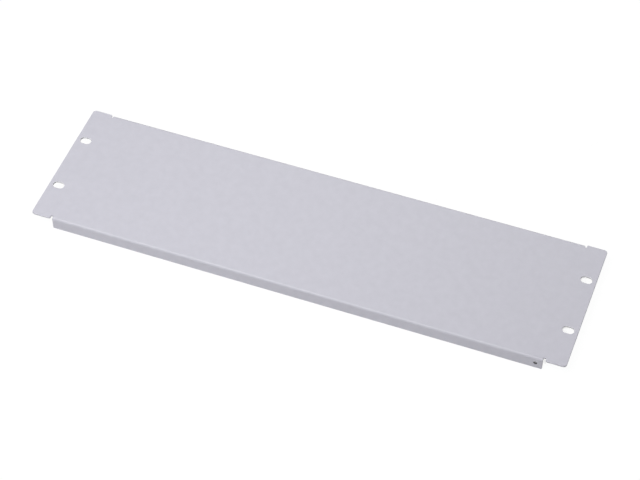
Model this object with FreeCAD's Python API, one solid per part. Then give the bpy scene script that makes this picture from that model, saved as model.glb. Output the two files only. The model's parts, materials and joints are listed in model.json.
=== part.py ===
import FreeCAD, Part
import math
import os

# Rack blanking panel, three units high, for a 19-inch rack.
# One sheet of steel: a flat face with two slotted ears, and a fold along each long edge.
#
# The origin is the centre of the four mounting slots, on the back of the face.
# X runs along the width, Y across the height, and Z out of the front.
# The panel lies face up, on the free edges of its two folds.

# Driving dimensions, in millimetres

# Face
panel_width = 482.6
panel_height = 132.5
sheet_thickness = 1.5
ear_corner_radius = 3.0

# Mounting slots: round-ended, with their long axis along the width
slot_from_side = 8.75
slot_spacing_y = 57.15
slot_width = 7.0
slot_length = 10.0

# Folds: the depth is measured from the front of the face to the free edge
fold_from_side = 19.8
fold_depth = 12.5
bend_inner_radius = 1.0
fold_corner_radius = 1.0

# Bend reliefs: the notches between the folds and the ears, smaller along the far edge
near_relief_width = 2.1
near_relief_past_bend = 0.7
near_lip_radius = 1.5
far_relief_width = 1.6
far_relief_past_bend = 0.3
far_lip_radius = 0.8
relief_corner_radius = 0.3

# Small hole in one fold, near its end
fold_hole_diameter = 3.0
fold_hole_from_end = 6.0
fold_hole_from_face = 6.3

# Softened rim along the cut edges of the sheet
edge_break = 0.2

# Worked out from the driving dimensions

half_width = panel_width / 2
half_height = panel_height / 2
half_fold = half_width - fold_from_side
slot_spacing_x = panel_width - 2 * slot_from_side
bend_outer_radius = bend_inner_radius + sheet_thickness
bend_line = half_height - bend_outer_radius

TOUCHING = 1e-6
CUTTER_OVERSHOOT = 1.0
SHARP_ANGLE = math.radians(45)

X_AXIS = FreeCAD.Vector(1, 0, 0)
Y_AXIS = FreeCAD.Vector(0, 1, 0)
Z_AXIS = FreeCAD.Vector(0, 0, 1)


def rounded_outline(corners):
    """Closed wire in the XY plane through (x, y, radius) corners, each rounded with an arc."""
    points = [FreeCAD.Vector(x, y, 0) for x, y, radius in corners]
    radii = [radius for x, y, radius in corners]
    stretches = []
    for i, corner in enumerate(points):
        to_last = (points[i - 1] - corner).normalize()
        to_next = (points[(i + 1) % len(points)] - corner).normalize()
        half_angle = to_last.getAngle(to_next) / 2
        reach = radii[i] / math.tan(half_angle)
        bisector = (to_last + to_next).normalize()
        middle = corner + bisector * (radii[i] / math.sin(half_angle) - radii[i])
        stretches.append((corner + to_last * reach, middle, corner + to_next * reach))

    edges = []
    for i, (start, middle, end) in enumerate(stretches):
        if radii[i] > TOUCHING:
            edges.append(Part.Arc(start, middle, end).toShape())
        next_start = stretches[(i + 1) % len(stretches)][0]
        if end.distanceToPoint(next_start) > TOUCHING:
            edges.append(Part.LineSegment(end, next_start).toShape())
    return Part.Wire(edges)


def long_edge(relief_width, relief_past_bend, lip_radius):
    """Corners along one long edge of the face, drawn at +Y, from its +X end to its -X end."""
    relief_end = bend_line - relief_past_bend
    ear_side = half_fold + relief_width
    right_half = [
        (half_width, half_height, ear_corner_radius),
        (ear_side, half_height, lip_radius),
        (ear_side, relief_end, relief_corner_radius),
        (half_fold, relief_end, relief_corner_radius),
        (half_fold, bend_line, 0),
    ]
    return right_half + [(-x, y, radius) for x, y, radius in reversed(right_half)]


def slot_outline(x, y):
    end_radius = slot_width / 2
    half_length = slot_length / 2
    return rounded_outline([
        (x + half_length, y + end_radius, end_radius),
        (x - half_length, y + end_radius, end_radius),
        (x - half_length, y - end_radius, end_radius),
        (x + half_length, y - end_radius, end_radius),
    ])


def face_plate():
    """The flat face and its ears, with the slots, the reliefs and the recess for each bend."""
    far = long_edge(far_relief_width, far_relief_past_bend, far_lip_radius)
    near = long_edge(near_relief_width, near_relief_past_bend, near_lip_radius)
    outline = rounded_outline(far + [(x, -y, radius) for x, y, radius in reversed(near)])
    slots = [
        slot_outline(x, y)
        for x in (-slot_spacing_x / 2, slot_spacing_x / 2)
        for y in (-slot_spacing_y / 2, slot_spacing_y / 2)
    ]
    face = Part.makeFace([outline] + slots, "Part::FaceMakerBullseye")
    return face.extrude(Z_AXIS * sheet_thickness)


def folded_edge():
    """The bend and the flange along the near long edge, at -Y."""
    plate_edge = rounded_outline([
        (-half_fold, 0, 0),
        (half_fold, 0, 0),
        (half_fold, sheet_thickness, 0),
        (-half_fold, sheet_thickness, 0),
    ])
    plate_edge.rotate(FreeCAD.Vector(), X_AXIS, 90)
    plate_edge.translate(FreeCAD.Vector(0, -bend_line, 0))
    bend_centre = FreeCAD.Vector(0, -bend_line, -bend_inner_radius)
    bend = Part.Face(plate_edge).revolve(bend_centre, X_AXIS, 90)

    # The flange is drawn flat with its free edge at +Y, then turned down and set under the bend
    flange_drop = fold_depth - bend_outer_radius
    outline = rounded_outline([
        (-half_fold, 0, 0),
        (half_fold, 0, 0),
        (half_fold, flange_drop, fold_corner_radius),
        (-half_fold, flange_drop, fold_corner_radius),
    ])
    flange = Part.Face(outline).extrude(Z_AXIS * sheet_thickness)
    flange.rotate(FreeCAD.Vector(), X_AXIS, -90)
    flange.translate(FreeCAD.Vector(0, -half_height, -bend_inner_radius))
    return bend.fuse(flange)


def fold_hole():
    """Cutter for the small round hole near the +X end of the near fold."""
    start = FreeCAD.Vector(
        half_fold - fold_hole_from_end,
        -half_height - CUTTER_OVERSHOOT,
        sheet_thickness - fold_hole_from_face,
    )
    length = sheet_thickness + 2 * CUTTER_OVERSHOOT
    return Part.makeCylinder(fold_hole_diameter / 2, length, start, Y_AXIS)


def break_cut_edges(shape):
    """Chamfer every rim where the thickness of the sheet meets one of its broad surfaces."""
    rims = []
    for edge in shape.Edges:
        middle = edge.valueAt((edge.FirstParameter + edge.LastParameter) / 2)
        normals = [
            face.normalAt(*face.Surface.parameter(middle))
            for face in shape.ancestorsOfType(edge, Part.Face)
        ]
        if normals[0].getAngle(normals[-1]) > SHARP_ANGLE:
            rims.append(edge)
    return shape.makeChamfer(edge_break, rims)


def blanking_panel():
    near_edge = folded_edge()
    far_edge = near_edge.mirror(FreeCAD.Vector(), Y_AXIS)
    folded_sheet = face_plate().fuse([near_edge, far_edge])
    pierced_sheet = folded_sheet.cut(fold_hole()).removeSplitter()
    return break_cut_edges(pierced_sheet.Solids[0])


os.makedirs("parts", exist_ok=True)
panel = blanking_panel()
panel.exportStep("parts/blanking_panel.step")
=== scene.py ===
import json
import math

import bmesh
import bpy
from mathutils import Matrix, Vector
from mathutils.geometry import delaunay_2d_cdt


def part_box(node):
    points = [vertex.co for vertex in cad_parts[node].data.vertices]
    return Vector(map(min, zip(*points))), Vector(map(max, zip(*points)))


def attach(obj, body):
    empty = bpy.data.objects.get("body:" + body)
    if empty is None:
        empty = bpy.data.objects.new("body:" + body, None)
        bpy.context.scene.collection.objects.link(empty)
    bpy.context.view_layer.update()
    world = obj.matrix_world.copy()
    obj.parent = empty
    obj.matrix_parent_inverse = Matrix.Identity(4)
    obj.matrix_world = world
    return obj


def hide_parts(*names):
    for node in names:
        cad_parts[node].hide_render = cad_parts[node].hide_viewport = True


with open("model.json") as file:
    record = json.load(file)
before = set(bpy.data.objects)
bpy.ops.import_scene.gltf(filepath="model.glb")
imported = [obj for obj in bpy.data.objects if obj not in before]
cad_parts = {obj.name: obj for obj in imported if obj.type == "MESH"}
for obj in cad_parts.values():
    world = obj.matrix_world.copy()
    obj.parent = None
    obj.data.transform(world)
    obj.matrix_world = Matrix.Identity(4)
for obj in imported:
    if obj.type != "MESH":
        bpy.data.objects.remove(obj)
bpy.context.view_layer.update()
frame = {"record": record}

# Rack blanking panel: one folded steel sheet with a pale powder coat, photographed on white.
# Everything is in metres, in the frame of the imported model.

MM = 0.001
QUARTER_TURN = math.pi / 2
NODE = "blanking_panel"

# Sizes read from the frame. The origin is on the back of the face, midway between the slots.
node_low, node_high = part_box(NODE)
half_width = node_high.x
half_height = node_high.y
thickness = node_high.z
fold_depth = node_high.z - node_low.z
floor_height = node_low.z
slots = next(m for m in frame["record"]["mounts"] if m["name"] == "rack_slots")["dims"]
slot_across = slots["spacing_x_mm"] / 2 * MM
slot_up = slots["spacing_y_mm"] / 2 * MM
slot_end_radius = slots["hole_r_mm"] * MM
slot_half_length = slots["slot_length_mm"] / 2 * MM

# Sizes that the frame doesn't list, as the part's source has them
fold_from_side = 19.8 * MM
bend_inner_radius = 1.0 * MM
fold_corner_radius = 1.0 * MM
ear_corner_radius = 3.0 * MM
near_relief_width = 2.1 * MM
near_relief_past_bend = 0.7 * MM
near_lip_radius = 1.5 * MM
far_relief_width = 1.6 * MM
far_relief_past_bend = 0.3 * MM
far_lip_radius = 0.8 * MM
relief_corner_radius = 0.3 * MM
fold_hole_radius = 1.5 * MM
fold_hole_from_end = 6.0 * MM
fold_hole_from_face = 6.3 * MM

# Rounds along the cut edges, which the punch and the coat leave larger in front than behind
front_rim_radius = 0.4 * MM
back_rim_radius = 0.15 * MM

# How finely the curves are divided, and how near two points count as one
CHORD = 0.35 * MM
LEAST_STEPS = 5
BEND_STEPS = 18
RIM_STEPS = 4
SAME = 0.001 * MM

# The kind of triangulation that keeps the given edges and makes faces that a mesh can hold
VALID_FACES = 4

# Colours, in sRGB from 0 to 255
COAT_DARK = (196, 195, 205)
COAT_LIGHT = (206, 205, 215)
# Painted light: the walls of the slots are painted paler, standing in for light that reaches them
# from below
SLOT_WALL_PAINTED_LIGHT = (240, 240, 243)
# Painted shade: the wall of the small hole is painted dark, standing in for the shade inside it
HOLE_PAINTED_SHADE = (60, 60, 64)

# Powder coat: noise cells per metre, range of the roughness, and height of the orange peel
MOTTLE_CELLS = 140
GLOSS_CELLS = 60
PEEL_CELLS = 650
GLOSSY = 0.33
DULL = 0.41
PEEL_HEIGHT = 0.06 * MM
PEEL_STRENGTH = 0.25

# Floor: its half size, what it reflects, and how bright and how shaded the camera sees it
FLOOR_REACH = 30
PAPER = 0.85
FLOOR_LIFT = 0.97
SHADOW_SHARE = 0.05

# The floor is dark where at most SHELTERED of the space over it is free, and white from OPEN up
SHELTER_REACH = 80 * MM
SHELTER_RAYS = 16
SHELTERED = 0.04
OPEN = 0.12

# Studio lamps, by name, place, width, height and watts, all pointed at the panel's middle
MIDDLE = (0, 0, 0)
SOFTBOXES = (
    ("key_softbox", (-0.25, -0.7, 1.4), 1.0, 1.0, 18.9),
    ("side_softbox", (-0.9, -0.6, 1.0), 0.6, 0.6, 3.3),
    ("top_softbox", (-0.5, 0.3, 0.9), 0.8, 0.8, 1.0),
    ("back_softbox", (0, 1.2, 1.0), 1.4, 0.8, 6.8),
)

# The photograph's viewpoint, from a fit of a pinhole camera to the panel's edges and slots:
# focal length in millimetres on a sensor 36 mm wide, place, and turn in degrees
CAMERA_LENS = 112.373
CAMERA_PLACE = (0.38803, -1.05632, 1.31128)
CAMERA_TURN = (40.4241, -0.1567, 20.2385)

# Sizes worked out from those above. The blank is the sheet before it is folded.
half_fold = half_width - fold_from_side
bend_outer_radius = bend_inner_radius + thickness
bend_line = half_height - bend_outer_radius
bend_length = bend_outer_radius * QUARTER_TURN
fold_drop = fold_depth - bend_outer_radius
fold_edge = bend_line + bend_length + fold_drop
fold_hole_line = bend_line + bend_length + fold_hole_from_face - bend_outer_radius
bend_rows = [bend_line + bend_length * step / BEND_STEPS for step in range(BEND_STEPS + 1)]


# Outlines of the flat blank

def long_edge(relief_width, relief_past_bend, lip_radius):
    """Corners along one long edge of the blank, drawn at +Y, from its +X end to its -X end."""
    relief_end = bend_line - relief_past_bend
    ear_side = half_fold + relief_width
    right_half = [
        (half_width, half_height, ear_corner_radius),
        (ear_side, half_height, lip_radius),
        (ear_side, relief_end, relief_corner_radius),
        (half_fold, relief_end, relief_corner_radius),
        (half_fold, fold_edge, fold_corner_radius),
    ]
    return right_half + [(-x, y, radius) for x, y, radius in reversed(right_half)]


def blank_outline():
    """Corners of the blank: the face, its ears and reliefs, and both folds opened out."""
    far = long_edge(far_relief_width, far_relief_past_bend, far_lip_radius)
    near = long_edge(near_relief_width, near_relief_past_bend, near_lip_radius)
    return far + [(x, -y, radius) for x, y, radius in reversed(near)]


def hole_outline(x, y, half_length, radius):
    """Corners of a round-ended hole, taken clockwise."""
    return [
        (x + half_length, y + radius, radius),
        (x + half_length, y - radius, radius),
        (x - half_length, y - radius, radius),
        (x - half_length, y + radius, radius),
    ]


def cut_edges():
    """The wall along each cut edge, by name, with the corners of its outline."""
    walls = [("outer_wall", blank_outline())]
    for x in (-slot_across, slot_across):
        for y in (-slot_up, slot_up):
            walls.append(("slot_wall", hole_outline(x, y, slot_half_length, slot_end_radius)))
    hole_x = half_fold - fold_hole_from_end
    hole = hole_outline(hole_x, -fold_hole_line, fold_hole_radius, fold_hole_radius)
    return walls + [("small_hole_wall", hole)]


def rounded_arc(before, corner, after, radius):
    """Points and outward normals of the arc that rounds a corner."""
    arriving = (corner - before).normalized()
    leaving = (after - corner).normalized()
    turn = math.atan2(arriving.cross(leaving), arriving.dot(leaving))
    reach = radius * math.tan(abs(turn) / 2)
    start_normal = Vector((arriving.y, -arriving.x))
    bulge = radius if turn > 0 else -radius
    centre = corner - arriving * reach - start_normal * bulge
    steps = max(LEAST_STEPS, math.ceil(radius * abs(turn) / CHORD))
    arc = []
    for step in range(steps + 1):
        angle = turn * step / steps
        normal = Vector((
            start_normal.x * math.cos(angle) - start_normal.y * math.sin(angle),
            start_normal.x * math.sin(angle) + start_normal.y * math.cos(angle),
        ))
        arc.append((centre + normal * bulge, normal))
    return arc


def rounded_loop(corners):
    """Points and outward normals along a loop of (x, y, radius) corners, the metal on its left."""
    points = [Vector((x, y)) for x, y, radius in corners]
    arcs = [
        rounded_arc(points[i - 1], corner, points[(i + 1) % len(points)], corners[i][2])
        for i, corner in enumerate(points)
    ]
    loop = []
    for i, arc in enumerate(arcs):
        start, normal = arc[-1]
        end = arcs[(i + 1) % len(arcs)][0][0]
        loop += arc[:-1]
        if (end - start).length < SAME:
            continue
        loop.append((start, normal))
        # A straight stretch gets a point wherever a row of the bend meets it
        low, high = sorted((start.y, end.y))
        rows = [y for row in bend_rows for y in (row, -row) if low + SAME < y < high - SAME]
        for y in sorted(rows, reverse=end.y < start.y):
            loop.append((start.lerp(end, (y - start.y) / (end.y - start.y)), normal))
    return loop


# The folded sheet

def rim_profile():
    """Rows of a rim, from the front of the sheet to its back: inset, depth and normal's tilt."""
    rim = []
    tilts = [QUARTER_TURN * step / RIM_STEPS for step in range(RIM_STEPS + 1)]
    for tilt in tilts:
        inset = (1 - math.sin(tilt)) * front_rim_radius
        depth = (1 - math.cos(tilt)) * front_rim_radius
        rim.append((inset, depth, tilt))
    for tilt in reversed(tilts):
        inset = (1 - math.sin(tilt)) * back_rim_radius
        depth = thickness - (1 - math.cos(tilt)) * back_rim_radius
        rim.append((inset, depth, math.pi - tilt))
    return rim


def folded(x, y, depth):
    """Where a point of the blank lies once it is folded, and its turn about X. Ears stay flat."""
    side = 1 if y > 0 else -1
    along = abs(y) - bend_line
    if along <= 0 or abs(x) > half_fold + SAME:
        return Vector((x, y, thickness - depth)), 0
    angle = min(along / bend_length, 1) * QUARTER_TURN
    radius = bend_outer_radius - depth
    drop = max(along - bend_length, 0)
    place = Vector((
        x,
        side * (bend_line + radius * math.sin(angle)),
        thickness - bend_outer_radius + radius * math.cos(angle) - drop,
    ))
    return place, -side * angle


def on_rim(point, normal, inset, depth, tilt):
    """Where a point of a rim lies once the sheet is folded, and its normal there."""
    at = point - normal * inset
    place, turn = folded(at.x, at.y, depth)
    flat = Vector((normal.x * math.sin(tilt), normal.y * math.sin(tilt), math.cos(tilt)))
    cosine, sine = math.cos(turn), math.sin(turn)
    return place, (flat.x, flat.y * cosine - flat.z * sine, flat.y * sine + flat.z * cosine)


def broad_faces(border, edges, outline_of):
    """Corners of the faces that fill the broad surface, divided along the rows of the bends."""
    fold_end = half_fold - front_rim_radius
    fold_ends = [i for i, point in enumerate(border) if abs(abs(point.x) - fold_end) < SAME]
    rows = [
        tuple(i for i in fold_ends if abs(border[i].y - y) < SAME)
        for row in bend_rows
        for y in (row, -row)
    ]
    _, _, faces, came_from, _, _ = delaunay_2d_cdt(border, edges + rows, [], VALID_FACES, SAME)
    kept = []
    for face in faces:
        corners = [came_from[i][0] for i in face]
        outlines_met = {outline_of[i] for i in corners}
        # A face that meets one hole and nothing else lies in that hole, and is left out
        if len(outlines_met) > 1 or outlines_met == {0}:
            kept.append(corners)
    return kept


def folded_sheet(name):
    """The folded sheet as one closed mesh, with a small round along every cut edge."""
    rim = rim_profile()
    bm = bmesh.new()
    normals = []
    # How far each vertex is down the wall of a slot or of the small hole, for the painted light on
    # the slot walls and the painted shade in the small hole
    wall_shares = {"slot_wall": [], "small_hole_wall": []}

    border, edges, outline_of, front, back = [], [], [], [], []
    for number, (wall, outline) in enumerate(cut_edges()):
        loop = rounded_loop(outline)
        count = len(loop)
        rings = []
        for inset, depth, tilt in rim:
            ring = []
            for point, outward in loop:
                place, normal = on_rim(point, outward, inset, depth, tilt)
                ring.append(bm.verts.new(place))
                normals.append(normal)
                for kind, shares in wall_shares.items():
                    shares.append(math.sin(tilt) if kind == wall else 0)
            rings.append(ring)
        for upper, lower in zip(rings, rings[1:]):
            for i in range(count):
                j = (i + 1) % count
                bm.faces.new((upper[i], lower[i], lower[j], upper[j]))

        first = len(border)
        border += [point - outward * front_rim_radius for point, outward in loop]
        edges += [(first + i, first + (i + 1) % count) for i in range(count)]
        outline_of += [number] * count
        front += rings[0]
        back += rings[-1]

    for corners in broad_faces(border, edges, outline_of):
        bm.faces.new([front[i] for i in corners])
        bm.faces.new([back[i] for i in reversed(corners)])

    mesh = bpy.data.meshes.new(name)
    bm.to_mesh(mesh)
    bm.free()
    mesh.shade_smooth()
    mesh.normals_split_custom_set_from_vertices(normals)
    for wall, shares in wall_shares.items():
        mesh.attributes.new(wall, "FLOAT", "POINT").data.foreach_set("value", shares)
    return add_object(name, mesh)


def add_object(name, data):
    thing = bpy.data.objects.new(name, data)
    bpy.context.scene.collection.objects.link(thing)
    return thing


# Materials

def node_tree(holder):
    holder.use_nodes = True
    holder.node_tree.nodes.clear()
    return holder.node_tree


def add_node(tree, kind, **settings):
    """A node with values for its input sockets, by name, or else for its own properties."""
    node = tree.nodes.new(kind)
    for key, value in settings.items():
        if key in node.inputs:
            node.inputs[key].default_value = value
        else:
            setattr(node, key, value)
    return node


def linear(red, green, blue):
    """Scene-linear colour of an sRGB one given from 0 to 255."""
    def channel(value):
        share = value / 255
        return share / 12.92 if share <= 0.04045 else ((share + 0.055) / 1.055) ** 2.4
    return (channel(red), channel(green), channel(blue), 1)


def powder_coat():
    """Satin powder coat: a slight mottle, an uneven gloss, and the fine relief of orange peel,
    with painted light on the slot walls and painted shade in the small hole.
    """
    material = bpy.data.materials.new("powder_coat")
    tree = node_tree(material)
    link = tree.links.new
    place = add_node(tree, "ShaderNodeTexCoord").outputs["Object"]
    surface = add_node(tree, "ShaderNodeBsdfPrincipled")
    output = add_node(tree, "ShaderNodeOutputMaterial")
    link(surface.outputs["BSDF"], output.inputs["Surface"])

    mottle = add_node(tree, "ShaderNodeTexNoise", Scale=MOTTLE_CELLS, Detail=3, Roughness=0.6)
    tone = add_node(tree, "ShaderNodeMix", data_type="RGBA")
    tone.inputs["A"].default_value = linear(*COAT_DARK)
    tone.inputs["B"].default_value = linear(*COAT_LIGHT)
    link(place, mottle.inputs["Vector"])
    link(mottle.outputs["Fac"], tone.inputs["Factor"])

    # Painted light and shade: the walls of the slots are painted paler, as painted light from
    # below, and the wall of the small hole is painted dark, as painted shade
    coat_and_painted_light = tone.outputs["Result"]
    for wall, colour in (("slot_wall", SLOT_WALL_PAINTED_LIGHT), ("small_hole_wall", HOLE_PAINTED_SHADE)):
        share = add_node(tree, "ShaderNodeAttribute", attribute_name=wall)
        over = add_node(tree, "ShaderNodeMix", data_type="RGBA")
        over.inputs["B"].default_value = linear(*colour)
        link(share.outputs["Fac"], over.inputs["Factor"])
        link(coat_and_painted_light, over.inputs["A"])
        coat_and_painted_light = over.outputs["Result"]
    link(coat_and_painted_light, surface.inputs["Base Color"])

    patches = add_node(tree, "ShaderNodeTexNoise", Scale=GLOSS_CELLS, Detail=2)
    gloss = add_node(tree, "ShaderNodeMapRange", **{"To Min": GLOSSY, "To Max": DULL})
    link(place, patches.inputs["Vector"])
    link(patches.outputs["Fac"], gloss.inputs["Value"])
    link(gloss.outputs["Result"], surface.inputs["Roughness"])

    peel = add_node(tree, "ShaderNodeTexNoise", Scale=PEEL_CELLS, Detail=2, Roughness=0.5)
    relief = add_node(tree, "ShaderNodeBump", Strength=PEEL_STRENGTH, Distance=PEEL_HEIGHT)
    link(place, peel.inputs["Vector"])
    link(peel.outputs["Fac"], relief.inputs["Height"])
    link(relief.outputs["Normal"], surface.inputs["Normal"])
    return material


# Stage, lights and camera

def seen_directly(tree):
    """1 for what the camera sees straight, in a reflection or through glass, else 0."""
    path = add_node(tree, "ShaderNodeLightPath")
    total = path.outputs["Is Camera Ray"]
    for name in ("Is Glossy Ray", "Is Transmission Ray"):
        adder = add_node(tree, "ShaderNodeMath", operation="ADD", use_clamp=True)
        tree.links.new(total, adder.inputs[0])
        tree.links.new(path.outputs[name], adder.inputs[1])
        total = adder.outputs["Value"]
    return total


def floor_paper():
    """Pale paper, seen as white with a faint shadow, and as dark deep under the panel."""
    material = bpy.data.materials.new("floor_paper")
    tree = node_tree(material)
    link = tree.links.new
    paper = add_node(tree, "ShaderNodeBsdfDiffuse", Color=(PAPER, PAPER, PAPER, 1))
    shadow_colour = (SHADOW_SHARE, SHADOW_SHARE, SHADOW_SHARE, 1)
    shaded = add_node(tree, "ShaderNodeBsdfDiffuse", Color=shadow_colour)
    lift = add_node(tree, "ShaderNodeEmission", Color=(1, 1, 1, 1))
    free_space = add_node(
        tree, "ShaderNodeAmbientOcclusion", Distance=SHELTER_REACH, samples=SHELTER_RAYS
    )
    open_share = add_node(tree, "ShaderNodeMapRange", **{
        "From Min": SHELTERED,
        "From Max": OPEN,
        "To Max": FLOOR_LIFT,
        "interpolation_type": "SMOOTHSTEP",
    })
    link(free_space.outputs["AO"], open_share.inputs["Value"])
    link(open_share.outputs["Result"], lift.inputs["Strength"])
    seen = add_node(tree, "ShaderNodeAddShader")
    link(shaded.outputs["BSDF"], seen.inputs[0])
    link(lift.outputs["Emission"], seen.inputs[1])
    mix = add_node(tree, "ShaderNodeMixShader")
    link(seen_directly(tree), mix.inputs["Fac"])
    link(paper.outputs["BSDF"], mix.inputs[1])
    link(seen.outputs["Shader"], mix.inputs[2])
    output = add_node(tree, "ShaderNodeOutputMaterial")
    link(mix.outputs["Shader"], output.inputs["Surface"])
    return material


def white_floor():
    reach = FLOOR_REACH
    corners = [(-reach, -reach, 0), (reach, -reach, 0), (reach, reach, 0), (-reach, reach, 0)]
    mesh = bpy.data.meshes.new("floor")
    mesh.from_pydata(corners, [], [(0, 1, 2, 3)])
    mesh.materials.append(floor_paper())
    floor = add_object("floor", mesh)
    floor.location.z = floor_height


def white_world():
    """A world that is seen as white and gives no light."""
    world = bpy.data.worlds.new("studio")
    bpy.context.scene.world = world
    tree = node_tree(world)
    link = tree.links.new
    seen = add_node(tree, "ShaderNodeBackground", Color=(1, 1, 1, 1), Strength=1)
    no_light = add_node(tree, "ShaderNodeBackground", Color=(1, 1, 1, 1), Strength=0)
    mix = add_node(tree, "ShaderNodeMixShader")
    output = add_node(tree, "ShaderNodeOutputWorld")
    link(seen_directly(tree), mix.inputs["Fac"])
    link(no_light.outputs["Background"], mix.inputs[1])
    link(seen.outputs["Background"], mix.inputs[2])
    link(mix.outputs["Shader"], output.inputs["Surface"])


def softbox(name, place, width, height, watts):
    """A soft rectangular studio lamp, pointed at the middle of the panel."""
    lamp = bpy.data.lights.new(name, "AREA")
    lamp.shape = "RECTANGLE"
    lamp.size = width
    lamp.size_y = height
    lamp.energy = watts
    box = add_object(name, lamp)
    box.location = place
    box.rotation_euler = (Vector(MIDDLE) - Vector(place)).to_track_quat("-Z", "Y").to_euler()


def photo_camera():
    lens = bpy.data.cameras.new("camera")
    lens.lens = CAMERA_LENS
    camera = add_object("camera", lens)
    camera.location = CAMERA_PLACE
    camera.rotation_euler = [math.radians(angle) for angle in CAMERA_TURN]
    bpy.context.scene.camera = camera


panel = folded_sheet("folded_panel")
panel.data.materials.append(powder_coat())
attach(panel, "root")
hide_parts(NODE)

white_floor()
white_world()
for lamp_values in SOFTBOXES:
    softbox(*lamp_values)
photo_camera()
bpy.context.scene.view_settings.view_transform = "Standard"
